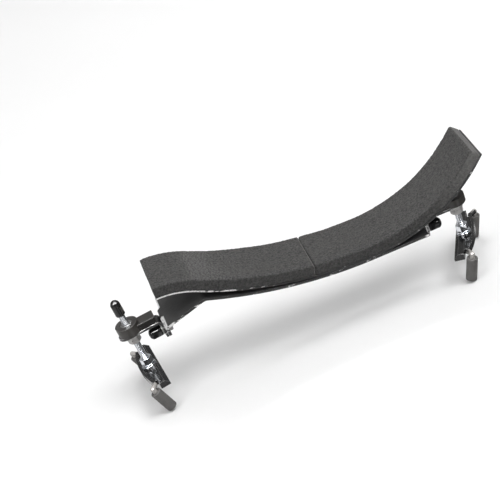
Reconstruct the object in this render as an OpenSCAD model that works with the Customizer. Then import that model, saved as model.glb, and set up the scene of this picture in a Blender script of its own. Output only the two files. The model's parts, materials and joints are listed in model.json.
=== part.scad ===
// Violin shoulder rest: a foam-padded band carried by two height-adjustable feet,
// whose rubber-sleeved claws grip the edge of the violin's back.
//
// Frame: the origin lies between the two feet, on the plane that the claw tips stand on.
// +X runs towards the shoulder hook, +Y across the band, and +Z up, away from the violin.
// Each end's hardware is drawn in a frame of its own: x = 0 on the post, +x outboard.

/* [Pad and bands] */
// Width of the foam pad
pad_w = 40; // [36:1:44]
// Thickness of the foam
foam_t = 7; // [5:0.5:8]
// Thickness of the upper band, which is bonded under the foam
support_t = 1.2; // [1:0.1:1.5]
// Thickness of the lower band, which carries the two end brackets
base_t = 1.5; // [1.2:0.1:2]
// Width of the two bands
band_w = 38; // [34:1:38]
// Place of the pad's lowest point along the rest
trough_x = 45; // [40:1:48]
// Height of the pad's lowest point above the claw tips
trough_z = 46.2; // [45.6:0.1:48]
// Radius of the foam's top over the chest side
chest_r = 224; // [215:1:235]
// Arc that the chest side turns through, in degrees
chest_arc = 26.5; // [25:0.5:28]
// Radius of the crown at the chest tip
tip_r = 55; // [45:1:65]
// Arc that the chest tip turns through, in degrees
tip_arc = 28; // [20:1:30]
// Radius of the foam's top at the shoulder hook
hook_r = 96; // [92:1:100]
// Arc that the shoulder hook turns through, in degrees
hook_arc = 48; // [40:1:50]
// Angle back from the lowest point at which the two lengths of foam meet
joint_at = 8.86; // [4:0.01:14]
// Radius of the lower band on the chest side
base_r = 281.8; // [275:0.1:290]
// Arc of the lower band on the chest side, in degrees
base_arc = 20.4; // [19:0.1:21]
// Fall of the lower band from its crest to the chest bracket, in degrees
base_fall = 16.5; // [14:0.5:19]

/* [Feet] */
// Distance of the chest post from the middle, at the foot
chest_x = 99.2; // [98:0.1:100.5]
// Distance of the shoulder post from the middle
shoulder_x = 102; // [101.6:0.1:104]
// Outward lean of the chest post, in degrees
chest_lean = 5.5; // [3:0.5:7]
// Toe-out of the chest foot, in degrees
chest_yaw = 4.5; // [0:0.5:15]
// Toe-out of the shoulder foot, in degrees
shoulder_yaw = 21; // [10:0.5:25]
// Half the length of the foot saddle
saddle_half = 24.5; // [20:0.5:26]
// Half the length of the fork's bow
bow_half = 20.5; // [18:0.5:20.5]
// Half the distance between the two claws of a foot
claw_half = 24.2; // [24.2:0.1:26]
// Inward lean of the claws, in degrees
claw_lean = 17; // [12:1:20]
// Outer radius of the rubber sleeve on a claw
sleeve_r = 3.3; // [3:0.1:3.4]
// Outer radius of the fork's bow
bow_r = 75.3; // [70:0.1:80]

/* [Brackets] */
// Height of the chest bracket's arm along its post
chest_arm_z = 44.2; // [43:0.1:45]
// Height of the shoulder bracket's arm along its post
shoulder_arm_z = 40; // [39.6:0.1:40.4]
// Thickness of the bracket strip
arm_t = 1.6; // [1.5:0.1:1.8]
// Width of the bracket strip
arm_w = 10; // [9:0.5:12]
// Length of the bracket's arm, from the flange to its rounded end
arm_len = 25.1; // [24.6:0.1:26]
// Distance from the chest post to its bracket's flange
chest_reach = 17.3; // [17:0.1:17.6]
// Distance from the shoulder post to its bracket's flange, as its slide is set further out
shoulder_reach = 19.8; // [19.6:0.1:20]
// Height of the boss on the chest slide housing
chest_housing_h = 6.4; // [5.4:0.2:8]
// Height of the boss on the shoulder slide housing, kept low to pass under the hook
shoulder_housing_h = 4.8; // [4.6:0.1:5]
// Height of the housing's block
block_h = 4.2; // [3.6:0.1:4.4]
// Drop from the arm's top to the clamp screw's axis
clamp_drop = 8; // [7.9:0.1:8.2]

/* [Screws] */
// Radius of the height screw (M4)
screw_r = 2; // [1.9:0.05:2.1]
// Radius of the clamp screw (M3)
clamp_r = 1.5; // [1.4:0.05:1.6]
// Length of the chest height knob
chest_knob_h = 10.4; // [9:0.2:12]
// Length of the low shoulder height knob
shoulder_knob_h = 3.4; // [3.2:0.1:3.6]
// Rise of the chest knob above its housing
chest_knob_gap = 6.6; // [6.4:0.1:9]
// Rise of the shoulder knob above its housing
shoulder_knob_gap = 2; // [2:0.1:2.2]
// Radial clearance of a running fit
fit = 0.05; // [0.03:0.01:0.08]

/* [Hidden] */
$fn = 64;

glue = 0.05;        // bond line between the foam and its band
seam = 0.02;        // half the gap where the two lengths of foam meet, in degrees
touch = 0.02;       // gap between faces that bear on each other
bury = 0.01;        // overlap that joins two pieces of one solid
chord_error = 0.01; // how far a band's flats may lie inside their arc

// Foot: heights above the claw tips
saddle_z0 = 15;     // underside of the saddle, just clear of the violin's edge
saddle_z1 = 19;     // top of the saddle
saddle_in = 5.6;    // reach of the saddle inboard of the post
saddle_out = 0.6;   // reach of its outer face outboard of the post
saddle_crest = 2.9; // where the top meets the inner bevel
flank_half = 18.2;  // half the length of the saddle's outer flank
flank_z1 = 18;      // top of that flank, a step below the saddle's top
boss_r = 4.8;       // boss around the post
washer_t = 0.8;
collar_h = 5;
clip_z = 15.3;
clip_t = 0.8;
shelf_z = 16.2;     // step that the retaining clip bears under
tongue_z = 17.2;    // underside of the fork's tongue, moulded into the saddle
tongue_t = 1;
bow_out = 6.4;      // reach of the bow outboard of the post
bow_t = 1.6;
bow_z0 = 15.4;
bow_z1 = 19.2;
prong_r = 1.5;
prong_u = 5.4;      // prong's axis outboard of the post, at the height of the elbow
elbow_z = (bow_z0 + bow_z1) / 2;
sleeve_top = 15.2;   // just below the bar that carries the prong
prong_end = 4;      // height at which the prong ends inside its sleeve
sleeve_end = sleeve_r * sin(claw_lean);

// Bracket: distances outboard of the flange, and heights from the arm's top
bend_r = 1.5;       // inner radius of the strip's bend
plate_tip = -13.2;
plate_taper = -9;
tip_half = 2.5;
slot_in = 9.3;
slot_out = 21.4;
clamp_hole_r = clamp_r + 0.1;
housing_r = 7;
block_half = 4.6;
block_reach = 16.3; // inboard end of the block, over the strip's bend
nut_pocket = 2.9;   // depth of the hexagonal pocket for the captive nut
lock_washer_t = 1.6;
lock_nut_h = 3.4;
slot_half = screw_r + 0.15;

// Tabs of the lower band, which face the bracket flanges
tab_gap = 0.1;
tab_x = -(arm_t + tab_gap);
tab_bend_r = 1.8;   // outer radius of the bend into the tab
wing_end = 0.2;     // reach of the band beside the tab, past the start of the bend
notch_top = 25;     // well above the band

// Centres of the bands' arcs, as [x, z]
hook_c = [trough_x, trough_z + hook_r];
chest_c = [trough_x, trough_z + chest_r];
chest_dir = [-sin(chest_arc), -cos(chest_arc)];
tip_c = chest_c + (chest_r + tip_r) * chest_dir;
support_r = foam_t + glue;
base_top = trough_z - support_r - support_t - touch;
base_c = [trough_x, base_top + base_r];
crest_r = 6;
base_dir = [-sin(base_arc), -cos(base_arc)];
crest_c = base_c + (base_r + crest_r) * base_dir;
fall_up = [-sin(base_fall), cos(base_fall)];
fall_dir = [-cos(base_fall), -sin(base_fall)];
fall_start = crest_c + crest_r * fall_up;

// The two rivets stand in a row across the bands, near the lowest point
rivet_r = 2;
rivet_y = 10;
rivet_x = trough_x + 4;
rivet_top = base_top + 1.1;

// The chest post leans about this height, and the trim keeps the claw tips on the ground
tip_u = prong_u - (elbow_z - sleeve_end) * tan(claw_lean);
chest_trim = (saddle_z1 - sleeve_end) * cos(chest_lean) + tip_u * sin(chest_lean)
    + sleeve_r * sin(claw_lean + chest_lean) - saddle_z1;

// Distance along the falling strip at which the chest tab turns down
fall_foot = fall_start - tab_bend_r * fall_up;
fall_foot_x = -(fall_foot[0] + chest_x) * cos(chest_lean)
    - (fall_foot[1] - saddle_z1 - chest_trim) * sin(chest_lean);
fall_len = (tab_x - tab_bend_r - chest_reach - fall_foot_x) / cos(base_fall - chest_lean);
chest_turn_c = fall_foot + fall_len * fall_dir;
chest_turn_z = saddle_z1 - (chest_turn_c[0] + chest_x) * sin(chest_lean)
    + (chest_turn_c[1] - saddle_z1 - chest_trim) * cos(chest_lean);
shoulder_turn_c = [shoulder_x - shoulder_reach + tab_x - tab_bend_r, base_top - tab_bend_r];
chest_out = [-cos(chest_lean), -sin(chest_lean)];
chest_up = [-sin(chest_lean), cos(chest_lean)];

// Height screw: heights along the post above the claw tips
chest_knob_z = chest_arm_z + chest_housing_h + chest_knob_gap;
shoulder_knob_z = shoulder_arm_z + shoulder_housing_h + shoulder_knob_gap;
screw_foot = 15.1;  // foot of the screw, inside the saddle
groove_r = 1.6;
tall_knob_r = 2.95;
dome_r = 4;         // dome on the tall knob

// ---- Placement -------------------------------------------------------------------------

// Puts a piece in the frame of the chest end, at a height along the leaning post
module at_chest(level = 0, yaw = 0) {
    translate([-chest_x, 0, saddle_z1 + chest_trim])
        mirror([1, 0, 0])
            rotate([0, chest_lean, 0])
                translate([0, 0, level - saddle_z1])
                    rotate([0, 0, -yaw])
                        children();
}

// Puts a piece in the frame of the shoulder end, at a height along the upright post
module at_shoulder(level = 0, yaw = 0) {
    translate([shoulder_x, 0, level])
        rotate([0, 0, -yaw])
            children();
}

// Puts a piece in the frame of a bracket: x = 0 on the flange's outboard face
module on_chest_bracket() {
    at_chest(chest_arm_z)
        translate([-chest_reach, 0, 0])
            children();
}

module on_shoulder_bracket() {
    at_shoulder(shoulder_arm_z)
        translate([-shoulder_reach, 0, 0])
            children();
}

// ---- Shared shapes ---------------------------------------------------------------------

// Points [x, z] along an arc from angle a0 to a1, counted up from +X
function arc(c, r, a0, a1) =
    let (n = ceil(abs(a1 - a0) / (2 * acos(1 - chord_error / r))))
    [for (i = [0:n]) c + r * [cos(a0 + (a1 - a0) * i / n), sin(a0 + (a1 - a0) * i / n)]];

// A list of points without its first, which repeats the end of the list before it
function rest(points) = [for (i = [1:len(points) - 1]) points[i]];

// Strip between two lines of points [x, z], of width w across +Y
module strip(upper, lower, w) {
    translate([0, w / 2, 0])
        rotate([90, 0, 0])
            linear_extrude(w)
                polygon(concat(upper, [for (i = [len(lower) - 1:-1:0]) lower[i]]));
}

// Strip bent about an axis along Y, from angle a0 to a1, counted up from +X
module bent_strip(c, r_in, r_out, a0, a1, w) {
    translate([c[0], 0, c[1]])
        rotate([90, 0, 0])
            rotate_extrude(start = a0, angle = a1 - a0, $fn = 180)
                translate([r_in, -w / 2])
                    square([r_out - r_in, w]);
}

// Cylinder along +X, from x0 to x1
module bar_x(r, x0, x1) {
    translate([x0, 0, 0])
        rotate([0, 90, 0])
            cylinder(r = r, h = x1 - x0);
}

// Ring on the post, from z0 to z1
module ring(r_out, r_in, z0, z1) {
    translate([0, 0, z0])
        difference() {
            cylinder(r = r_out, h = z1 - z0);
            translate([0, 0, -1])
                cylinder(r = r_in, h = z1 - z0 + 2);
        }
}

// Hexagon nut with chamfered corners, across_flats wide, with a round bore
module hex_nut(across_flats, h, bore_r) {
    corner_r = across_flats / sqrt(3);
    difference() {
        intersection() {
            cylinder(r = corner_r, h = h, $fn = 6);
            rotate_extrude()
                polygon([[0, 0], [across_flats / 2, 0], [corner_r, 0.4], [corner_r, h - 0.4],
                         [across_flats / 2, h], [0, h]]);
        }
        translate([0, 0, -1])
            cylinder(r = bore_r, h = h + 2);
    }
}

// Plate that tapers to a blunt tip, thickness t along +X, from height top down
module tapered_plate(top, t) {
    rotate([90, 0, 90])
        linear_extrude(t)
            polygon([[-arm_w / 2, top], [-arm_w / 2, plate_taper], [-tip_half, plate_tip],
                     [tip_half, plate_tip], [arm_w / 2, plate_taper], [arm_w / 2, top]]);
}

// Both ends of a foot, at +Y and at -Y
module both_ends() {
    children();
    mirror([0, 1, 0])
        children();
}

// Places a piece on the leaning axis of a claw, z = 0 at the height of the elbow
module on_claw() {
    translate([prong_u, claw_half, elbow_z])
        rotate([0, claw_lean, 0])
            children();
}

// ---- Pad and bands ---------------------------------------------------------------------

// Lines along the pad, at a depth below the top of the foam
function tip_line(depth) = arc(tip_c, tip_r - depth, 90 - chest_arc + tip_arc, 90 - chest_arc);
function chest_line(depth, a0, a1) = arc(chest_c, chest_r + depth, -90 - a0, -90 - a1);
function hook_line(depth) = arc(hook_c, hook_r + depth, -90, -90 + hook_arc);

function foam_chest_line(depth) =
    concat(tip_line(depth), rest(chest_line(depth, chest_arc, joint_at + seam)));
function foam_shoulder_line(depth) =
    concat(chest_line(depth, joint_at - seam, 0), rest(hook_line(depth)));
function support_line(depth) =
    concat(tip_line(depth), rest(chest_line(depth, chest_arc, 0)), rest(hook_line(depth)));

// Line of the lower band at a depth below its top, from the foot of one tab to the other
function base_line(depth) = concat(
    [chest_turn_c + (tab_bend_r - depth) * chest_out
        - (chest_turn_z - chest_arm_z - plate_tip) * chest_up],
    arc(chest_turn_c, tab_bend_r - depth, 180 + chest_lean, 90 + base_fall),
    arc(crest_c, crest_r - depth, 90 + base_fall, 90 - base_arc),
    rest(arc(base_c, base_r + depth, -90 - base_arc, -90)),
    arc(shoulder_turn_c, tab_bend_r - depth, 90, 0),
    [[shoulder_turn_c[0] + tab_bend_r - depth, shoulder_arm_z + plate_tip]]);

module foam_pad_chest() {
    color([0.19, 0.19, 0.20])
        strip(foam_chest_line(0), foam_chest_line(foam_t), pad_w);
}

module foam_pad_shoulder() {
    color([0.19, 0.19, 0.20])
        strip(foam_shoulder_line(0), foam_shoulder_line(foam_t), pad_w);
}

module support_band() {
    color([0.12, 0.12, 0.13])
        difference() {
            strip(support_line(support_r), support_line(support_r + support_t), band_w);
            rivet_holes();
        }
}

// Lower band: level under the hook, rising under the chest side, with a tab down at each end
module base_band() {
    color([0.12, 0.12, 0.13])
        difference() {
            strip(base_line(0), base_line(base_t), band_w);
            rivet_holes();
            on_chest_bracket() {
                tab_notches();
                clamp_hole();
            }
            on_shoulder_bracket() {
                tab_notches();
                clamp_hole();
            }
        }
}

// Cuts both sides of the lower band back to a tab with a blunt tip
module tab_notches() {
    for (side = [0, 1])
        mirror([0, side, 0])
            translate([tab_x - tab_bend_r + wing_end, 0, 0])
                rotate([90, 0, 90])
                    linear_extrude(tab_bend_r)
                        polygon([[arm_w / 2, notch_top], [arm_w / 2, plate_taper],
                                 [tip_half, plate_tip], [tip_half, plate_tip - 1],
                                 [band_w / 2 + 1, plate_tip - 1], [band_w / 2 + 1, notch_top]]);
}

module clamp_hole() {
    translate([0, 0, -clamp_drop])
        bar_x(clamp_hole_r, -6, 2);
}

module rivet_holes() {
    for (side = [-1, 1])
        translate([rivet_x, side * rivet_y, base_top - 5])
            cylinder(r = rivet_r + touch, h = 12);
}

module band_rivets() {
    color([0.55, 0.55, 0.56])
        for (side = [-1, 1])
            translate([rivet_x, side * rivet_y, 0]) {
                translate([0, 0, base_top - base_t - touch - bury])
                    cylinder(r = rivet_r, h = rivet_top - base_top + base_t);
                translate([0, 0, base_top - base_t - touch])
                    intersection() {
                        translate([0, 0, 2])
                            sphere(r = 4);
                        translate([0, 0, -1.4])
                            cylinder(r = 5, h = 1.4);
                    }
            }
}

// ---- Bracket and its clamp -------------------------------------------------------------

// J-shaped strip: a slotted arm, a bend and a tapered flange
module bracket_strip() {
    color([0.13, 0.13, 0.14])
        difference() {
            union() {
                translate([bend_r - bury, -arm_w / 2, -arm_t])
                    cube([arm_len - arm_w / 2 - bend_r + bury, arm_w, arm_t]);
                translate([arm_len - arm_w / 2, 0, -arm_t])
                    cylinder(r = arm_w / 2, h = arm_t);
                bent_strip([bend_r, -arm_t - bend_r], bend_r, bend_r + arm_t, 90, 180, arm_w);
                translate([-arm_t, 0, 0])
                    tapered_plate(-arm_t - bend_r + bury, arm_t);
            }
            clamp_hole();
            slot();
        }
}

module slot() {
    translate([slot_in, -slot_half, -arm_t - 1])
        cube([slot_out - slot_in, 2 * slot_half, arm_t + 2]);
    for (x = [slot_in, slot_out])
        translate([x, 0, -arm_t - 1])
            cylinder(r = slot_half, h = arm_t + 2);
}

module clamp_nut() {
    color([0.45, 0.45, 0.46])
        translate([tab_x - base_t - touch, 0, -clamp_drop])
            rotate([0, -90, 0])
                rotate([0, 0, 30])
                    hex_nut(5.5, 2.4, clamp_r + fit);
}

module clamp_screw() {
    color([0.62, 0.62, 0.63])
        translate([0, 0, -clamp_drop])
            bar_x(clamp_r, tab_x - base_t - 3, 7);
}

module clamp_washer() {
    color([0.62, 0.62, 0.63])
        translate([touch, 0, -clamp_drop])
            rotate([0, 90, 0])
                ring(3.2, clamp_r + fit, 0, 0.7);
}

// Barrel-shaped knob with a rounded outer end
module clamp_knob() {
    color([0.04, 0.04, 0.05])
        translate([0.8, 0, -clamp_drop])
            rotate([0, 90, 0])
                rotate_extrude()
                    difference() {
                        union() {
                            square([2.8, 8.2]);
                            translate([0, 0.6])
                                square([3.4, 6.6]);
                            translate([2.8, 0.6])
                                circle(r = 0.6);
                            translate([2.4, 7.2])
                                circle(r = 1);
                        }
                        translate([-5, -1])
                            square([5, 12]);
                        translate([0, -1])
                            square([clamp_r, 7.2]);
                    }
}

// ---- Slide housing and the parts clamped with it ---------------------------------------

// Housing: a round boss about the post and a narrower block inboard, with a rib in the slot
module slide_housing(h) {
    nut_seat = h - nut_pocket;
    color([0.05, 0.05, 0.06])
        difference() {
            union() {
                translate([0, 0, touch])
                    cylinder(r = housing_r, h = h - touch);
                translate([-block_reach, -block_half, touch])
                    cube([block_reach, 2 * block_half, block_h - touch]);
                translate([-5.6, -slot_half + 0.1, -1.2])
                    cube([3, 2 * slot_half - 0.2, 1.2 + 2 * touch]);
            }
            translate([0, 0, -2])
                cylinder(r = screw_r + 0.1, h = h + 4);
            translate([0, 0, nut_seat])
                cylinder(r = 7.1 / sqrt(3), h = 5, $fn = 6);
        }
}

module captive_nut(h) {
    color([0.72, 0.73, 0.75])
        translate([0, 0, h - nut_pocket + touch])
            hex_nut(7, nut_pocket - 0.1, screw_r + fit);
}

module lock_washer() {
    color([0.50, 0.50, 0.51])
        ring(4.3, screw_r + 0.1, -arm_t - touch - lock_washer_t, -arm_t - touch);
}

module lock_nut() {
    color([0.50, 0.50, 0.51])
        translate([0, 0, -arm_t - 2 * touch - lock_washer_t - lock_nut_h])
            hex_nut(7, lock_nut_h, screw_r + fit);
}

// ---- Height screw ----------------------------------------------------------------------

// Plain post the size of the thread, with a groove for the retaining clip at its foot
module height_screw(knob_z, knob_h) {
    color([0.80, 0.81, 0.83])
        rotate_extrude()
            polygon([[0, screw_foot], [screw_r, screw_foot],
                     [screw_r, clip_z - touch], [groove_r, clip_z - touch],
                     [groove_r, clip_z + clip_t + touch], [screw_r, clip_z + clip_t + touch],
                     [screw_r, knob_z + 0.7 * knob_h], [0, knob_z + 0.7 * knob_h]]);
}

// Tall knob: a slim barrel with a domed end and two flats for the fingers
module tall_knob(knob_z, knob_h) {
    color([0.03, 0.03, 0.04])
        translate([0, 0, knob_z])
            difference() {
                union() {
                    cylinder(r1 = tall_knob_r - 0.5, r2 = tall_knob_r, h = 1);
                    translate([0, 0, 1])
                        cylinder(r = tall_knob_r, h = knob_h / 2 - 1);
                    intersection() {
                        translate([0, 0, knob_h - dome_r])
                            sphere(r = dome_r);
                        translate([0, 0, knob_h / 2])
                            cylinder(r = tall_knob_r, h = knob_h / 2);
                    }
                }
                for (turn = [0, 180])
                    rotate([0, 0, turn + 40])
                        translate([2.5, -5, 1])
                            cube([5, 10, knob_h - 5]);
                translate([0, 0, -1])
                    cylinder(r = screw_r, h = 1 + 0.7 * knob_h);
            }
}

// Low knob: a rounded disc that passes under the shoulder hook
module low_knob(knob_z, knob_h) {
    color([0.03, 0.03, 0.04])
        translate([0, 0, knob_z])
            difference() {
                intersection() {
                    cylinder(r = 3.6, h = knob_h);
                    translate([0, 0, knob_h - 5.6])
                        sphere(r = 5.6);
                }
                translate([0, 0, -1])
                    cylinder(r = screw_r, h = 1 + 0.7 * knob_h);
            }
}

module collar_nut() {
    color([0.78, 0.79, 0.81])
        translate([0, 0, saddle_z1 + washer_t + 2 * touch])
            difference() {
                union() {
                    cylinder(r = 4, h = 1);
                    translate([0, 0, 1 - bury])
                        cylinder(r = 6.6 / sqrt(3), h = collar_h - 1, $fn = 6);
                }
                translate([0, 0, -1])
                    cylinder(r = screw_r, h = collar_h + 2);
            }
}

module thrust_washer() {
    color([0.70, 0.71, 0.73])
        ring(4.4, screw_r + fit, saddle_z1 + touch, saddle_z1 + washer_t);
}

module retaining_clip() {
    color([0.60, 0.61, 0.63])
        ring(3.3, groove_r, clip_z, clip_z + clip_t);
}

// ---- Foot ------------------------------------------------------------------------------

// Bar along the violin's edge, bevelled inboard, with a boss for the post
module foot_saddle() {
    color([0.05, 0.05, 0.06])
        difference() {
            union() {
                translate([0, saddle_half, 0])
                    rotate([90, 0, 0])
                        linear_extrude(2 * saddle_half)
                            polygon([[-saddle_in, saddle_z0], [saddle_out, saddle_z0],
                                     [saddle_out, saddle_z1], [-saddle_crest, saddle_z1],
                                     [-saddle_in, saddle_z1 - 2.4]]);
                saddle_flank();
                translate([0, 0, saddle_z0])
                    cylinder(r = boss_r, h = saddle_z1 - saddle_z0);
            }
            translate([0, 0, saddle_z0 - 1])
                cylinder(r = screw_r + fit, h = saddle_z1 - saddle_z0 + 2);
            translate([0, 0, saddle_z0 - 1])
                cylinder(r = 3.6, h = shelf_z - saddle_z0 + 1);
            tongue(touch);
        }
}

// Flank that fills the space between the saddle and the inside of the bow
module saddle_flank() {
    translate([0, 0, saddle_z0])
        linear_extrude(flank_z1 - saddle_z0)
            intersection() {
                translate([-1, -flank_half])
                    square([bow_out + 1, 2 * flank_half]);
                translate([bow_out - bow_r, 0])
                    circle(r = bow_r - bow_t - touch, $fn = 180);
            }
}

// The fork's tongue, grown by a gap where it cuts its own pocket
module tongue(gap) {
    translate([-4.2 - gap, -5 - gap, tongue_z - gap])
        cube([4.2 + bow_out - bow_t / 2 + gap, 10 + 2 * gap, tongue_t + 2 * gap]);
}

// Bowed strip on edge, whose ends turn down as the two prongs
module foot_fork() {
    bow_end = asin(bow_half / bow_r);
    end_u = bow_out - bow_r + sqrt(pow(bow_r - bow_t / 2, 2) - pow(bow_half, 2));
    color([0.07, 0.07, 0.08]) {
        difference() {
            union() {
                translate([bow_out - bow_r, 0, bow_z0])
                    rotate([0, 0, -bow_end])
                        rotate_extrude(angle = 2 * bow_end, $fn = 180)
                            translate([bow_r - bow_t, 0])
                                square([bow_t, bow_z1 - bow_z0]);
                tongue(0);
            }
            translate([0, 0, saddle_z0])
                cylinder(r = screw_r + 0.4, h = 6);
        }
        both_ends() {
            translate([end_u, bow_half - 0.5, elbow_z])
                rotate([0, 0, atan2(claw_half - bow_half + 0.5, prong_u - end_u)])
                    bar_x(prong_r, 0, norm([claw_half - bow_half + 0.5, prong_u - end_u]));
            on_claw() {
                sphere(r = prong_r + bury);
                translate([0, 0, (prong_end - elbow_z) / cos(claw_lean)])
                    cylinder(r = prong_r, h = (elbow_z - prong_end) / cos(claw_lean));
            }
        }
    }
}

// Rubber tubes pushed over the prongs, open at the tip
module claw_sleeves() {
    low = (sleeve_end - elbow_z) / cos(claw_lean);
    high = (sleeve_top - elbow_z) / cos(claw_lean);
    color([0.22, 0.22, 0.22])
        both_ends()
            on_claw()
                ring(sleeve_r, prong_r + touch, low, high);
}

// ---- Chest end -------------------------------------------------------------------------

module chest_clamp_nut() on_chest_bracket() clamp_nut();
module chest_bracket() on_chest_bracket() bracket_strip();
module chest_clamp_screw() on_chest_bracket() clamp_screw();
module chest_clamp_knob() on_chest_bracket() clamp_knob();
module chest_clamp_washer() on_chest_bracket() clamp_washer();
module chest_slide_housing() at_chest(chest_arm_z) slide_housing(chest_housing_h);
module chest_captive_nut() at_chest(chest_arm_z) captive_nut(chest_housing_h);
module chest_lock_washer() at_chest(chest_arm_z) lock_washer();
module chest_lock_nut() at_chest(chest_arm_z) lock_nut();
module chest_thrust_washer() at_chest() thrust_washer();
module chest_height_screw() at_chest() height_screw(chest_knob_z, chest_knob_h);
module chest_height_knob() at_chest() tall_knob(chest_knob_z, chest_knob_h);
module chest_collar_nut() at_chest() collar_nut();
module chest_retaining_clip() at_chest() retaining_clip();
module chest_foot_saddle() at_chest(yaw = chest_yaw) foot_saddle();
module chest_foot_fork() at_chest(yaw = chest_yaw) foot_fork();
module chest_claw_sleeves() at_chest(yaw = chest_yaw) claw_sleeves();

// ---- Shoulder end ----------------------------------------------------------------------

module shoulder_clamp_nut() on_shoulder_bracket() clamp_nut();
module shoulder_bracket() on_shoulder_bracket() bracket_strip();
module shoulder_clamp_screw() on_shoulder_bracket() clamp_screw();
module shoulder_clamp_knob() on_shoulder_bracket() clamp_knob();
module shoulder_clamp_washer() on_shoulder_bracket() clamp_washer();
module shoulder_slide_housing() at_shoulder(shoulder_arm_z) slide_housing(shoulder_housing_h);
module shoulder_captive_nut() at_shoulder(shoulder_arm_z) captive_nut(shoulder_housing_h);
module shoulder_lock_washer() at_shoulder(shoulder_arm_z) lock_washer();
module shoulder_lock_nut() at_shoulder(shoulder_arm_z) lock_nut();
module shoulder_thrust_washer() at_shoulder() thrust_washer();
module shoulder_height_screw() at_shoulder() height_screw(shoulder_knob_z, shoulder_knob_h);
module shoulder_height_knob() at_shoulder() low_knob(shoulder_knob_z, shoulder_knob_h);
module shoulder_collar_nut() at_shoulder() collar_nut();
module shoulder_retaining_clip() at_shoulder() retaining_clip();
module shoulder_foot_saddle() at_shoulder(yaw = shoulder_yaw) foot_saddle();
module shoulder_foot_fork() at_shoulder(yaw = shoulder_yaw) foot_fork();
module shoulder_claw_sleeves() at_shoulder(yaw = shoulder_yaw) claw_sleeves();

// ---- Nodes -----------------------------------------------------------------------------

foam_pad_chest();
foam_pad_shoulder();
support_band();
base_band();
band_rivets();
chest_clamp_nut();
chest_bracket();
chest_clamp_screw();
chest_clamp_knob();
chest_clamp_washer();
chest_slide_housing();
chest_captive_nut();
chest_lock_washer();
chest_lock_nut();
chest_thrust_washer();
chest_height_screw();
chest_height_knob();
chest_collar_nut();
chest_retaining_clip();
chest_foot_saddle();
chest_foot_fork();
chest_claw_sleeves();
shoulder_clamp_nut();
shoulder_bracket();
shoulder_clamp_screw();
shoulder_clamp_knob();
shoulder_clamp_washer();
shoulder_slide_housing();
shoulder_captive_nut();
shoulder_lock_washer();
shoulder_lock_nut();
shoulder_thrust_washer();
shoulder_height_screw();
shoulder_height_knob();
shoulder_collar_nut();
shoulder_retaining_clip();
shoulder_foot_saddle();
shoulder_foot_fork();
shoulder_claw_sleeves();
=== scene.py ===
import json
import math

import bmesh
import bpy
from mathutils import Matrix, Vector


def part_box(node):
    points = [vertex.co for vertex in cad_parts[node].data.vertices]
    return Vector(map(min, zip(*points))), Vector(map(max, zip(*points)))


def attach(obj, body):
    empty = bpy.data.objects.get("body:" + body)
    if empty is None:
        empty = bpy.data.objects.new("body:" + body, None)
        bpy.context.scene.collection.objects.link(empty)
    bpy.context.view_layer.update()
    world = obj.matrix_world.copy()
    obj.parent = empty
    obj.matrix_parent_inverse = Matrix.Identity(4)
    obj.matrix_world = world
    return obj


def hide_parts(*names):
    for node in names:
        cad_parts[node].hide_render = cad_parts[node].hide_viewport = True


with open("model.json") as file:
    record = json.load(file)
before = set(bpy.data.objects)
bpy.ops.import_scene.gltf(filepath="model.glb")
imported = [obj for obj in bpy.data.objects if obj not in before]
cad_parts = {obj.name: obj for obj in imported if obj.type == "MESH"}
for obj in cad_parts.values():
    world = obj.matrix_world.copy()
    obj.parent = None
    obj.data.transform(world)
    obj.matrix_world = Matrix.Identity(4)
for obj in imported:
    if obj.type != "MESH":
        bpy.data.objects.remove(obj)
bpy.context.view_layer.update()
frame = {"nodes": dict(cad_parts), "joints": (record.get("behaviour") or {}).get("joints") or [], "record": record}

MM = 0.001
SIDES = ("chest", "shoulder")
BODY = {
    node: body
    for body, members in frame["record"]["behaviour"]["bodies"].items()
    for node in members
}
SLOT = {part["node"]: part["material_slot"] for part in frame["record"]["subparts"]}
JOINT = {joint["name"]: joint for joint in frame["joints"]}

TAB_HALF = 5.3 * MM       # half the width of a band's tab
BOSS_REACH = 7.3 * MM     # the housing's faces nearer the post than this belong to its boss
PRONG_START = 20.4 * MM   # beyond this the fork is round prong and no longer bow
TALL_KNOB = 8 * MM        # a height knob at least this tall has a full crown and two flats
FLATS_TURN = 0.30         # where its flats face, as a part of a turn round the post
POST_RADIUS = 2.0 * MM
POST_PITCH = 0.7 * MM
CLAMP_RADIUS = 1.5 * MM
CLAMP_PITCH = 0.5 * MM


# ---- Node graphs -------------------------------------------------------------------------

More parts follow.
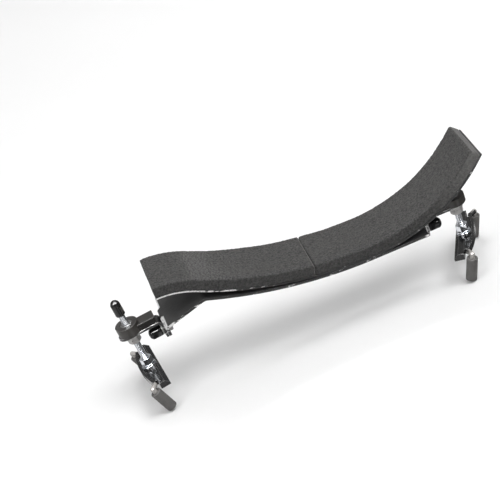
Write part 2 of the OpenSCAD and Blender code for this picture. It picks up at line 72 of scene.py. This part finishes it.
class Graph:
    """A node tree, with short calls for the nodes that the finishes and the studio use."""

    def __init__(self, tree, coordinates):
        self.tree = tree
        self.place = self.node("ShaderNodeTexCoord").outputs[coordinates]

    def node(self, kind, **settings):
        made = self.tree.nodes.new(kind)
        for name, value in settings.items():
            setattr(made, name, value)
        return made

    def wire(self, source, target):
        if isinstance(source, bpy.types.NodeSocket):
            self.tree.links.new(source, target)
        else:
            target.default_value = source

    def stretched(self, scale):
        mapping = self.node("ShaderNodeMapping")
        self.wire(self.place, mapping.inputs["Vector"])
        mapping.inputs["Scale"].default_value = scale
        return mapping.outputs["Vector"]

    def noise(self, scale, detail, rough, place=None):
        made = self.node("ShaderNodeTexNoise")
        self.wire(place or self.place, made.inputs["Vector"])
        made.inputs["Scale"].default_value = scale
        made.inputs["Detail"].default_value = detail
        made.inputs["Roughness"].default_value = rough
        return made.outputs["Fac"]

    def cells(self, scale):
        made = self.node("ShaderNodeTexVoronoi")
        self.wire(self.place, made.inputs["Vector"])
        made.inputs["Scale"].default_value = scale
        return made.outputs["Distance"]

    def split(self, vector):
        made = self.node("ShaderNodeSeparateXYZ")
        self.wire(vector, made.inputs[0])
        return made.outputs

    def spread(self, value, low, high, to_low=0.0, to_high=1.0):
        made = self.node("ShaderNodeMapRange")
        self.wire(value, made.inputs["Value"])
        for name, number in zip(("From Min", "From Max", "To Min", "To Max"),
                                (low, high, to_low, to_high)):
            made.inputs[name].default_value = number
        return made.outputs["Result"]

    def maths(self, operation, a, b=0.0):
        made = self.node("ShaderNodeMath", operation=operation)
        self.wire(a, made.inputs[0])
        self.wire(b, made.inputs[1])
        return made.outputs["Value"]

    def blend(self, factor, a, b, mode="MIX"):
        made = self.node("ShaderNodeMix", data_type="RGBA", blend_type=mode)
        colours = [socket for socket in made.inputs if socket.type == "RGBA"]
        self.wire(factor, made.inputs[0])
        self.wire(a, colours[0])
        self.wire(b, colours[1])
        return next(socket for socket in made.outputs if socket.type == "RGBA")

    def bump(self, height, distance, strength, normal=None):
        made = self.node("ShaderNodeBump")
        self.wire(height, made.inputs["Height"])
        made.inputs["Distance"].default_value = distance
        made.inputs["Strength"].default_value = strength
        if normal is not None:
            self.wire(normal, made.inputs["Normal"])
        return made.outputs["Normal"]

    def unless_reflected(self, seen, reflected):
        """One shader for what is seen directly and another for what a glossy surface shows."""
        mix = self.node("ShaderNodeMixShader")
        self.wire(self.node("ShaderNodeLightPath").outputs["Is Glossy Ray"], mix.inputs[0])
        self.wire(seen, mix.inputs[1])
        self.wire(reflected, mix.inputs[2])
        return mix.outputs[0]


class Finish(Graph):
    """A material's graph, placed in the frame's own coordinates."""

    def __init__(self, name):
        self.material = bpy.data.materials.new(name)
        self.material.use_nodes = True
        super().__init__(self.material.node_tree, "Object")
        self.surface = self.tree.nodes["Principled BSDF"]

    def done(self, **inputs):
        for name, value in inputs.items():
            self.wire(value, self.surface.inputs[name.replace("_", " ")])
        return self.material


def grey(level, warm=0.0):
    return (level * (1 + warm), level, level * (1 - warm), 1.0)


# ---- Finishes ----------------------------------------------------------------------------

def foam_finish():
    """Charcoal closed-cell foam: open grain, small pits, a faint mottle.

    The cut near and far sides are painted darker as painted shade, except at the hooked tip,
    where they are painted paler as painted light, as are the faces turned towards +X."""
    g = Finish("foam")
    grain = g.noise(820, 4, 0.8)
    pits = g.cells(620)
    mottle = g.noise(60, 3, 0.6)
    colour = g.blend(g.spread(grain, 0.36, 0.66), grey(0.014), grey(0.084, 0.03))
    # painted shade: the pits are painted darker
    colour = g.blend(g.spread(pits, 0.12, 0.36, 0.6, 0.0), colour, grey(0.012))
    colour = g.blend(g.spread(mottle, 0.35, 0.75, 0.0, 0.22), colour, grey(0.062, 0.04))
    facing = g.split(g.node("ShaderNodeNewGeometry").outputs["Normal"])
    along = g.split(g.place)["X"]
    # painted shade: the near and far sides are painted darker, fading out towards the hooked tip
    side = g.spread(g.maths("ABSOLUTE", facing["Y"]), 0.55, 0.9)
    shaded = g.maths("MULTIPLY", side, g.spread(along, 70 * MM, 110 * MM, 0.42, 0.0))
    # painted light: the sides at the hooked tip and all faces turned towards +X are painted paler
    tip = g.maths("MULTIPLY", side, g.spread(along, 85 * MM, 115 * MM, 0.0, 0.30))
    painted_light = g.maths("ADD", tip, g.spread(facing["X"], 0.35, 0.6, 0.0, 0.42))
    colour = g.blend(shaded, colour, grey(0.02))
    colour = g.blend(painted_light, colour, grey(0.20, 0.02))
    height = g.maths("ADD", grain, g.spread(pits, 0.0, 0.45, 0.0, 0.6))
    return g.done(Base_Color=colour, Roughness=0.93, Normal=g.bump(height, 0.35 * MM, 0.85),
                  Sheen_Weight=0.05, Sheen_Roughness=0.6, Specular_IOR_Level=0.1)


def lacquer(name, level, rough, wear, bare_end=None):
    """Black lacquer on metal, with a slight orange peel, fine rubs and a few worn specks.

    bare_end is the place along X of an end whose lip, beside the tab, has lost its paint."""
    g = Finish(name)
    peel = g.noise(900, 2, 0.5)
    rubs = g.noise(260, 5, 0.7, g.stretched((1.0, 5.0, 5.0)))
    specks = g.spread(g.noise(1300, 3, 0.7), 0.70, 0.74)
    cloud = g.noise(60, 3, 0.6)
    colour = g.blend(g.spread(cloud, 0.3, 0.7, 0.0, 0.6), grey(level), grey(level * 1.5, 0.03))
    colour = g.blend(g.maths("MULTIPLY", specks, wear), colour, grey(0.35))
    roughness = g.spread(rubs, 0.35, 0.75, rough * 0.8, rough * 1.35)
    if bare_end is not None:
        place = g.split(g.place)
        lip = g.spread(place["X"], bare_end + 0.6 * MM, bare_end + 1.0 * MM, 1.0, 0.0)
        beside = g.spread(g.maths("ABSOLUTE", place["Y"]), TAB_HALF, TAB_HALF + 0.2 * MM)
        colour = g.blend(g.maths("MULTIPLY", lip, beside), colour, grey(0.85))
    return g.done(Base_Color=colour, Roughness=roughness, Coat_Weight=0.25,
                  Coat_Roughness=0.25, Normal=g.bump(peel, 0.02 * MM, 0.6))


def bare_metal(name, level, rough, metal, tint, grain=(1.0, 60.0, 60.0), stain=0.35):
    """Cut or plated metal with drawn streaks and duller patches."""
    g = Finish(name)
    streaks = g.noise(90, 4, 0.65, g.stretched(grain))
    dull = g.noise(240, 3, 0.65)
    colour = g.blend(g.spread(streaks, 0.3, 0.7), grey(level * 0.72, tint), grey(level, tint))
    colour = g.blend(g.spread(dull, 0.5, 0.72, 0.0, stain), colour, grey(level * 0.35, tint))
    roughness = g.spread(dull, 0.3, 0.7, rough * 0.75, rough * 1.4)
    return g.done(Base_Color=colour, Metallic=metal, Roughness=roughness,
                  Normal=g.bump(streaks, 0.03 * MM, 0.5))


def worn_edge(name, paint_level, metal_level, share, rubbed_end=0.0, rubbed_to=-10 * MM):
    """An edge where the lacquer has rubbed through to the metal in broken lines.

    A lower share leaves more metal showing. rubbed_end is how much more is worn at the
    chest end, fading out by rubbed_to along X."""
    g = Finish(name)
    patch = g.noise(420, 4, 0.7, g.stretched((0.35, 0.35, 1.0)))
    if rubbed_end:
        along = g.split(g.place)["X"]
        patch = g.maths("ADD", patch, g.spread(along, -90 * MM, rubbed_to, rubbed_end, 0.0))
    worn = g.spread(patch, share, share + 0.08)
    colour = g.blend(worn, grey(paint_level), grey(metal_level, 0.01))
    return g.done(Base_Color=colour, Metallic=g.spread(worn, 0.0, 1.0, 0.0, 0.4),
                  Roughness=g.spread(worn, 0.0, 1.0, 0.3, 0.34),
                  Normal=g.bump(patch, 0.04 * MM, 0.6))


def moulded_plastic(name, level, rough, texture=0.01 * MM, warm=0.02):
    """Black moulded plastic: slow sink marks, faint mould grain and hairline scratches."""
    g = Finish(name)
    sink = g.noise(110, 2, 0.4)
    grain = g.noise(2600, 2, 0.5)
    scratches = g.spread(g.noise(700, 2, 0.5, g.stretched((1.0, 14.0, 3.0))), 0.62, 0.70)
    colour = g.blend(g.spread(sink, 0.35, 0.7), grey(level, warm), grey(level * 1.7, warm))
    roughness = g.maths("ADD", g.spread(sink, 0.3, 0.7, rough * 0.8, rough * 1.25),
                        g.maths("MULTIPLY", scratches, 0.12))
    normal = g.bump(sink, 0.2 * MM, 0.25)
    normal = g.bump(grain, texture, 0.5, normal)
    return g.done(Base_Color=colour, Roughness=roughness, Normal=normal, IOR=1.5)


def chrome_finish():
    """Bright plate, with a very slight waviness and a few cloudy rubs."""
    g = Finish("chrome")
    wave = g.noise(300, 2, 0.5)
    cloud = g.noise(800, 4, 0.7)
    colour = g.blend(g.spread(cloud, 0.4, 0.8), (0.80, 0.82, 0.85, 1), (0.60, 0.62, 0.66, 1))
    return g.done(Base_Color=colour, Metallic=1.0,
                  Roughness=g.spread(cloud, 0.35, 0.8, 0.06, 0.2),
                  Normal=g.bump(wave, 0.03 * MM, 0.3))


def rubber_finish():
    """Warm grey rubber tube: matte, with fine upright lines and a dusty bloom."""
    g = Finish("claw_rubber")
    bloom = g.noise(180, 4, 0.65)
    skin = g.noise(2200, 3, 0.6)
    lines = g.noise(900, 2, 0.5, g.stretched((1.0, 1.0, 0.12)))
    colour = g.blend(g.spread(bloom, 0.3, 0.72), grey(0.055, 0.04), grey(0.10, 0.05))
    colour = g.blend(g.spread(skin, 0.35, 0.7, 0.0, 0.4), colour, grey(0.06, 0.04))
    height = g.maths("ADD", skin, lines)
    return g.done(Base_Color=colour, Roughness=g.spread(bloom, 0.3, 0.7, 0.62, 0.8),
                  Normal=g.bump(height, 0.07 * MM, 0.7), Specular_IOR_Level=0.4)


FINISH = {
    "foam": foam_finish(),
    "band_paint": lacquer("band_paint", 0.030, 0.42, 0.3),
    "bracket_paint": lacquer("bracket_paint", 0.022, 0.34, 0.5),
    "fork_paint": lacquer("fork_paint", 0.012, 0.2, 0.35),
    "housing_plastic": moulded_plastic("housing_plastic", 0.014, 0.2, 0.018 * MM, 0.06),
    "foot_plastic": moulded_plastic("foot_plastic", 0.010, 0.14),
    "knob_plastic": moulded_plastic("knob_plastic", 0.007, 0.09),
    "chrome": chrome_finish(),
    "zinc": bare_metal("zinc", 0.42, 0.36, 0.5, 0.02, (1.0, 1.0, 20.0)),
    "claw_rubber": rubber_finish(),
}
CUT_ALUMINIUM = bare_metal("cut_aluminium", 0.85, 0.35, 0.4, 0.0, (0.5, 20.0, 60.0), 0.2)
PRONG_STEEL = bare_metal("prong_steel", 0.42, 0.45, 0.4, 0.04)
NUT_STEEL = bare_metal("nut_steel", 0.25, 0.3, 0.6, 0.01)
CUT_EDGE = worn_edge("cut_edge", 0.035, 0.45, 0.52)
RUBBED_SIDE = worn_edge("rubbed_side", 0.03, 0.85, 0.60, 0.35)
RUBBED_CORNER = worn_edge("rubbed_corner", 0.03, 0.85, 0.62, 0.3, -55 * MM)
WORN_BRACKET = worn_edge("worn_bracket", 0.03, 0.6, 0.40)
# wear and painted highlight: patches of bright metal on the fork bow's rounded edges, standing in for the
# highlight along it
BOW_WEAR_AND_HIGHLIGHT = worn_edge("bow_wear_and_painted_highlight", 0.012, 0.55, 0.44)
WORN_BAND = worn_edge("worn_band", 0.03, 0.7, 0.46)
SATIN_PLASTIC = moulded_plastic("satin_plastic", 0.026, 0.38, 0.04 * MM, 0.10)
# painted highlight: a lighter plastic painted on the foot saddles' rounded edges
PAINTED_EDGE_SHEEN = moulded_plastic("painted_edge_sheen", 0.11, 0.16, warm=0.0)


# ---- Places taken from the frame -----------------------------------------------------------

def post_axis(side):
    """A point on the post's axis and the direction up it."""
    joint = JOINT[side + "_screw_turn"]
    return Vector(joint["pos_m"]), -Vector(joint["axis"]).normalized()


def clamp_axis(side):
    """A point on the clamp screw's axis and its direction."""
    joint = JOINT[side + "_clamp_turn"]
    return Vector(joint["pos_m"]), Vector(joint["axis"]).normalized()


def outboard(side):
    return Vector(JOINT[side + "_width"]["axis"]).normalized()


def reach_along(node, origin, axis):
    """Lowest and highest place of a CAD node along an axis."""
    places = [(vertex.co - origin).dot(axis) for vertex in frame["nodes"][node].data.vertices]
    return min(places), max(places)


def distance_from(origin, axis, point):
    offset = point - origin
    return (offset - axis * offset.dot(axis)).length


def radius_about(node, origin, axis):
    """Greatest distance of a CAD node from an axis."""
    return max(distance_from(origin, axis, vertex.co)
               for vertex in frame["nodes"][node].data.vertices)


# ---- Pieces made over CAD nodes ------------------------------------------------------------

def new_piece(name, mesh, node, materials):
    """Puts a mesh in the scene in a CAD node's place: same body, same material slot."""
    piece = bpy.data.objects.new(name, mesh)
    bpy.context.scene.collection.objects.link(piece)
    mesh.materials.clear()
    for material in materials:
        mesh.materials.append(material)
    for polygon in mesh.polygons:
        polygon.use_smooth = True
    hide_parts(node)
    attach(piece, BODY[node])
    return piece


def cad_mesh(node):
    """A clean copy of a CAD node's mesh: welded, with its flat faces merged."""
    work = bmesh.new()
    work.from_mesh(frame["nodes"][node].data)
    bmesh.ops.remove_doubles(work, verts=work.verts, dist=2e-6)
    bmesh.ops.dissolve_limit(work, angle_limit=math.radians(0.4), verts=work.verts,
                             edges=work.edges)
    bmesh.ops.recalc_face_normals(work, faces=work.faces)
    mesh = bpy.data.meshes.new(node + "_mesh")
    work.to_mesh(mesh)
    work.free()
    while mesh.attributes.get("custom_normal"):
        mesh.attributes.remove(mesh.attributes["custom_normal"])
    return mesh


def soften(piece, width, edge, segments):
    """Rounds the sharp edges, which catch the light; edge is the slot of their finish."""
    bevel = piece.modifiers.new("rounding", "BEVEL")
    bevel.width = width
    bevel.segments = segments
    bevel.limit_method = "ANGLE"
    bevel.angle_limit = math.radians(28)
    if edge is not None:
        bevel.material = edge
    weighted = piece.modifiers.new("normals", "WEIGHTED_NORMAL")
    weighted.weight = 60


def dressed(node, width, materials=None, edge=None, pick=None, segments=3):
    """A CAD shape with rounded edges; pick(face) chooses the slot of each face's finish."""
    mesh = cad_mesh(node)
    piece = new_piece(node + "_piece", mesh, node, materials or [FINISH[SLOT[node]]])
    if pick:
        for polygon in mesh.polygons:
            polygon.material_index = pick(polygon)
    soften(piece, width, edge, segments)


# ---- Foam --------------------------------------------------------------------------------

def cloud_texture(name, size, depth):
    texture = bpy.data.textures.new(name, "CLOUDS")
    texture.noise_scale = size
    texture.noise_depth = depth
    return texture


FOAM_GRAIN = cloud_texture("foam_grain", 1.1 * MM, 2)
FOAM_SWELL = cloud_texture("foam_swell", 26 * MM, 1)


def foam_pad(node):
    """A length of cut foam: softened edges, slightly uneven faces and a raised grain."""
    piece = new_piece(node + "_foam", cad_mesh(node), node, [FINISH["foam"]])
    edges = piece.modifiers.new("edges", "BEVEL")
    edges.width = 0.55 * MM
    edges.segments = 3
    edges.limit_method = "ANGLE"
    edges.angle_limit = math.radians(50)
    grid = piece.modifiers.new("grid", "REMESH")
    grid.mode = "VOXEL"
    grid.voxel_size = 0.8 * MM
    grid.use_smooth_shade = True
    round_off = piece.modifiers.new("round_off", "SMOOTH")
    round_off.factor = 0.5
    round_off.iterations = 1
    finer = piece.modifiers.new("finer", "SUBSURF")
    finer.levels = 1
    finer.render_levels = 1
    for name, texture, strength in (("swell", FOAM_SWELL, 0.5 * MM),
                                    ("grain", FOAM_GRAIN, 0.34 * MM)):
        relief = piece.modifiers.new(name, "DISPLACE")
        relief.texture = texture
        relief.texture_coords = "LOCAL"
        relief.strength = strength
        relief.mid_level = 0.55


# ---- Bands and brackets ------------------------------------------------------------------

def on_cut_side(polygon):
    """True of a face on one of a strip's two long cut sides."""
    return abs(polygon.normal.y) > 0.9


def band_face(end_slot):
    """Picks slot 1 for a band's long cut sides and end_slot for its ends beside the tabs."""
    def pick(polygon):
        if on_cut_side(polygon):
            return 1
        beside_tab = abs(polygon.center.y) > TAB_HALF
        return end_slot if beside_tab and abs(polygon.normal.z) < 0.5 else 0
    return pick


def bands():
    """The two lacquered sheets, rubbed bright along their cut sides, and their rivets."""
    dressed("support_band", 0.15 * MM, [FINISH["band_paint"], RUBBED_SIDE], 0, band_face(1), 2)
    wings = [vertex.co.x for vertex in frame["nodes"]["base_band"].data.vertices
             if abs(vertex.co.y) > 1.5 * TAB_HALF]
    paint = lacquer("base_band_paint", 0.030, 0.42, 0.3, min(wings))
    dressed("base_band", 0.18 * MM, [paint, RUBBED_CORNER, WORN_BAND, CUT_ALUMINIUM], 2,
            band_face(3), 2)
    dressed("band_rivets", 0.15 * MM)


def bracket(side):
    dressed(side + "_bracket", 0.3 * MM, [FINISH["bracket_paint"], CUT_EDGE, WORN_BRACKET], 2,
            lambda polygon: 1 if on_cut_side(polygon) else 0)


# ---- Threaded and turned parts -------------------------------------------------------------

def around_axis(axis, turn, radius):
    """The offset at a part of a turn round an axis."""
    across = axis.orthogonal().normalized()
    angle = 2 * math.pi * turn
    return (across * math.cos(angle) + axis.cross(across) * math.sin(angle)) * radius


def closed_mesh(name, work):
    """Ends a lathe or thread: welds its collapsed rows, caps its open ends, faces it outwards."""
    bmesh.ops.remove_doubles(work, verts=work.verts, dist=1e-6)
    bmesh.ops.holes_fill(work, edges=[edge for edge in work.edges if edge.is_boundary])
    bmesh.ops.recalc_face_normals(work, faces=work.faces)
    mesh = bpy.data.meshes.new(name)
    work.to_mesh(mesh)
    work.free()
    return mesh


def thread_mesh(name, origin, axis, reach, radius, pitch, plain_to=None, around=40, per_turn=10):
    """A closed rod whose rows of faces follow its thread, with no thread below plain_to."""
    low, high = reach
    depth = 0.18 * pitch
    chamfer = 0.2 * pitch
    count = int((high - low) / pitch * per_turn) + 2 * per_turn

    def corner(i, j):
        z = low + (i / per_turn + j / around - 1) * pitch
        z = min(max(z, low), high)
        runout = min(1.0, (z - low) / pitch, (high - z) / pitch)
        if plain_to is not None and z <= plain_to:
            runout = 0.0
        groove = 0.5 + 0.5 * math.cos(2 * math.pi * i / per_turn)
        r = radius - depth * groove * runout - (chamfer if z in (low, high) else 0.0)
        return work.verts.new(origin + axis * z + around_axis(axis, j / around, r))

    work = bmesh.new()
    rows = [[corner(i, j) for j in range(around)] for i in range(count + 1)]
    for i in range(count - per_turn):
        for j in range(around - 1):
            work.faces.new((rows[i][j], rows[i][j + 1], rows[i + 1][j + 1], rows[i + 1][j]))
        work.faces.new((rows[i][-1], rows[i + per_turn][0], rows[i + 1 + per_turn][0],
                        rows[i + 1][-1]))
    loose = [vertex for vertex in work.verts if not vertex.link_faces]
    bmesh.ops.delete(work, geom=loose, context="VERTS")
    return closed_mesh(name, work)


def height_screw(side):
    """Chromed post, threaded from just under the top of its collar nut upwards."""
    origin, up = post_axis(side)
    node = side + "_height_screw"
    collar_top = reach_along(side + "_collar_nut", origin, up)[1]
    mesh = thread_mesh(node + "_mesh", origin, up, reach_along(node, origin, up),
                       POST_RADIUS, POST_PITCH, collar_top - 1 * MM)
    new_piece(node + "_thread", mesh, node, [FINISH["chrome"]])


def clamp_screw(side):
    origin, axis = clamp_axis(side)
    node = side + "_clamp_screw"
    mesh = thread_mesh(node + "_mesh", origin, axis, reach_along(node, origin, axis),
                       CLAMP_RADIUS, CLAMP_PITCH)
    new_piece(node + "_thread", mesh, node, [FINISH["zinc"]])


def lathe_mesh(name, origin, axis, profile, around=64):
    """A solid turned about an axis; profile lists (place along the axis, radius)."""
    work = bmesh.new()
    rows = [[work.verts.new(origin + axis * z + around_axis(axis, j / around, r))
             for j in range(around)] for z, r in profile]
    for lower, upper in zip(rows, rows[1:]):
        for j in range(around):
            k = (j + 1) % around
            work.faces.new((lower[j], lower[k], upper[k], upper[j]))
    return closed_mesh(name, work)


def rounded_profile(low, high, radius, foot, crown, belt=(), steps=12):
    """From a chamfered foot, past any extra rows of the belt, up to an elliptical crown."""
    profile = [(low, radius - foot), (low + 0.3 * foot, radius - 0.3 * foot), (low + foot, radius)]
    profile += [(z, radius) for z in belt]
    for i in range(1, steps + 1):
        angle = math.radians(88) * i / steps
        profile.append((high - crown + crown * math.sin(angle), radius * math.cos(angle)))
    return profile


def height_knob(side):
    """The tall knob is bullet-shaped, with two satin flats; a low one keeps its CAD shape."""
    origin, up = post_axis(side)
    node = side + "_height_knob"
    low, high = reach_along(node, origin, up)
    if high - low < TALL_KNOB:
        dressed(node, 0.35 * MM)
        return
    radius = radius_about(node, origin, up)
    flat_low, flat_high = low + 1.2 * MM, low + 0.56 * (high - low)
    flat_ramp = 0.3 * MM
    belt = (flat_low, flat_low + flat_ramp, flat_high - flat_ramp, flat_high)
    profile = rounded_profile(low, high, radius, 0.5 * MM, 1.05 * radius, belt)
    mesh = lathe_mesh(node + "_mesh", origin, up, profile)
    facing = around_axis(up, FLATS_TURN, 1.0)
    flat_place = 0.84 * radius
    for vertex in mesh.vertices:
        place = vertex.co - origin
        if flat_low < place.dot(up) < flat_high:
            across = place.dot(facing)
            limit = min(abs(across), flat_place)
            vertex.co += facing * (math.copysign(limit, across) - across)
    new_piece(node + "_turned", mesh, node, [FINISH["knob_plastic"], SATIN_PLASTIC])
    for polygon in mesh.polygons:
        place = polygon.center - origin
        beyond = abs(place.dot(facing)) > 0.8 * radius
        on_flat = beyond and flat_low < place.dot(up) < flat_high
        polygon.material_index = 1 if on_flat else 0


def clamp_knob(side):
    """Round knob with a well rounded outer end."""
    origin, axis = clamp_axis(side)
    if axis.dot(outboard(side)) < 0:
        axis.negate()
    node = side + "_clamp_knob"
    low, high = reach_along(node, origin, axis)
    radius = radius_about(node, origin, axis)
    profile = rounded_profile(low, high, radius, 0.7 * MM, 0.75 * radius)
    mesh = lathe_mesh(node + "_mesh", origin, axis, profile)
    new_piece(node + "_turned", mesh, node, [FINISH["knob_plastic"]])


# ---- Hardware ----------------------------------------------------------------------------

def hardware(side):
    """The nuts, washers and clip, each with edges rounded to suit its making."""
    dressed(side + "_captive_nut", 0.3 * MM, [NUT_STEEL, FINISH["chrome"]], 1)
    for name, width in (("clamp_nut", 0.2), ("clamp_washer", 0.12), ("lock_washer", 0.25),
                        ("lock_nut", 0.25), ("thrust_washer", 0.12), ("collar_nut", 0.22),
                        ("retaining_clip", 0.1)):
        dressed(side + "_" + name, width * MM)


def foot_saddle(side):
    """Gloss black block, whose rounded edges are painted in a lighter plastic as a painted highlight."""
    dressed(side + "_foot_saddle", 0.35 * MM, [FINISH["foot_plastic"], PAINTED_EDGE_SHEEN], 1)


def slide_housing(side):
    """Black block with a satin boss about the post."""
    origin, up = post_axis(side)
    dressed(side + "_slide_housing", 0.6 * MM, [FINISH["housing_plastic"], SATIN_PLASTIC],
            pick=lambda face: 1 if distance_from(origin, up, face.center) < BOSS_REACH else 0)


def claw_sleeves(side):
    dressed(side + "_claw_sleeves", 0.5 * MM, segments=4)


def fork(side):
    """Bowed strip in lacquer with bare prongs; its rounded edges are painted lighter, partly as wear and partly as
    a painted highlight.
    """
    node = side + "_foot_fork"
    middle = sum(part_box(node), Vector()) / 2
    dressed(node, 0.25 * MM, [FINISH["fork_paint"], PRONG_STEEL, BOW_WEAR_AND_HIGHLIGHT], 2,
            lambda face: 1 if abs(face.center.y - middle.y) > PRONG_START else 0)


# ---- Setting -----------------------------------------------------------------------------

def floor():
    """Pale floor; in reflections it is dark with two bright stripes, as between softboxes."""
    bpy.ops.mesh.primitive_plane_add(size=40, location=(0, 0, -0.2 * MM))
    plane = bpy.context.object
    plane.name = "floor"
    g = Finish("floor")
    cloud = g.noise(3, 3, 0.5)
    colour = g.blend(g.spread(cloud, 0.3, 0.7), grey(0.86), grey(0.89))
    material = g.done(Base_Color=colour, Roughness=0.75)
    sideways = g.split(g.node("ShaderNodeNewGeometry").outputs["Incoming"])["X"]
    left = g.maths("MULTIPLY", g.spread(sideways, 0.20, 0.30), g.spread(sideways, 0.95, 0.82))
    right = g.maths("MULTIPLY", g.spread(sideways, -0.06, -0.14),
                    g.spread(sideways, -0.5, -0.38))
    striped = g.node("ShaderNodeEmission")
    g.wire(g.spread(g.maths("ADD", left, right), 0.0, 1.0, 0.07, 0.95),
           striped.inputs["Strength"])
    g.wire(g.unless_reflected(g.surface.outputs[0], striped.outputs[0]),
           g.tree.nodes["Material Output"].inputs["Surface"])
    plane.data.materials.append(material)


def room():
    """Even white light; its reflection is a dark room with a bright band, ceiling and sides."""
    world = bpy.data.worlds.new("studio")
    bpy.context.scene.world = world
    world.use_nodes = True
    g = Graph(world.node_tree, "Generated")
    even = g.tree.nodes["Background"]
    g.wire(grey(1.0), even.inputs["Color"])
    g.wire(0.5, even.inputs["Strength"])
    direction = g.split(g.place)
    heights = g.node("ShaderNodeValToRGB")
    g.wire(direction["Z"], heights.inputs[0])
    horizon, ceiling = heights.color_ramp.elements
    horizon.position, horizon.color = 0.02, (0.16, 0.16, 0.17, 1)
    ceiling.position, ceiling.color = 0.9, grey(1.0)
    for position, level in ((0.38, 0.12), (0.47, 0.5), (0.56, 0.10), (0.62, 0.10)):
        heights.color_ramp.elements.new(position).color = grey(level)
    sides = g.spread(g.maths("ABSOLUTE", direction["X"]), 0.78, 0.90, 0.0, 0.5)
    reflected = g.node("ShaderNodeBackground")
    g.wire(g.blend(1.0, heights.outputs[0], sides, "ADD"), reflected.inputs["Color"])
    g.wire(g.unless_reflected(even.outputs[0], reflected.outputs[0]),
           g.tree.nodes["World Output"].inputs["Surface"])


def lamp(name, place, size, watts, only_reflected=False):
    """A rectangular soft lamp, aimed at the middle of the rest."""
    data = bpy.data.lights.new(name, "AREA")
    data.shape = "RECTANGLE"
    data.size, data.size_y = size
    data.energy = watts
    lamp_object = bpy.data.objects.new(name, data)
    bpy.context.scene.collection.objects.link(lamp_object)
    lamp_object.location = place
    aim = Vector((0.0, 0.0, 40 * MM)) - Vector(place)
    lamp_object.rotation_euler = aim.to_track_quat("-Z", "Y").to_euler()
    lamp_object.visible_diffuse = not only_reflected


def lamps():
    lamp("key", (0.7, -0.35, 1.3), (0.9, 0.9), 13)
    lamp("fill", (-1.0, -0.7, 0.8), (0.5, 0.9), 4)
    lamp("rim", (0.1, 1.0, 1.5), (1.0, 0.2), 7)
    lamp("overhead_strip", (0.0, -0.2, 1.4), (1.4, 0.5), 40, True)
    for i, x in enumerate((-0.95, -0.2, 0.5)):
        lamp("softbox_%d" % i, (x, -0.65, 1.1), (0.55, 0.55), 26, True)


def camera():
    """The photograph's viewing angle, with the camera rolled as the picture is."""
    place = Vector((-0.0778, -0.9942, 0.6009))
    aim = Vector((-0.020, -0.0042, 0.0658))
    roll = Matrix.Rotation(math.radians(-21.27), 4, "Z")
    data = bpy.data.cameras.new("camera")
    data.sensor_width = 36
    data.lens = 141.24
    data.clip_start = 0.02
    data.clip_end = 100
    eye = bpy.data.objects.new("camera", data)
    bpy.context.scene.collection.objects.link(eye)
    turn = (aim - place).to_track_quat("-Z", "Y").to_matrix().to_4x4()
    eye.matrix_world = Matrix.Translation(place) @ turn @ roll
    bpy.context.scene.camera = eye


# ---- Build -------------------------------------------------------------------------------

foam_pad("foam_pad_chest")
foam_pad("foam_pad_shoulder")
bands()
for end in SIDES:
    bracket(end)
    hardware(end)
    foot_saddle(end)
    slide_housing(end)
    claw_sleeves(end)
    height_screw(end)
    height_knob(end)
    clamp_screw(end)
    clamp_knob(end)
    fork(end)
floor()
room()
lamps()
camera()
bpy.context.scene.view_settings.view_transform = "Standard"
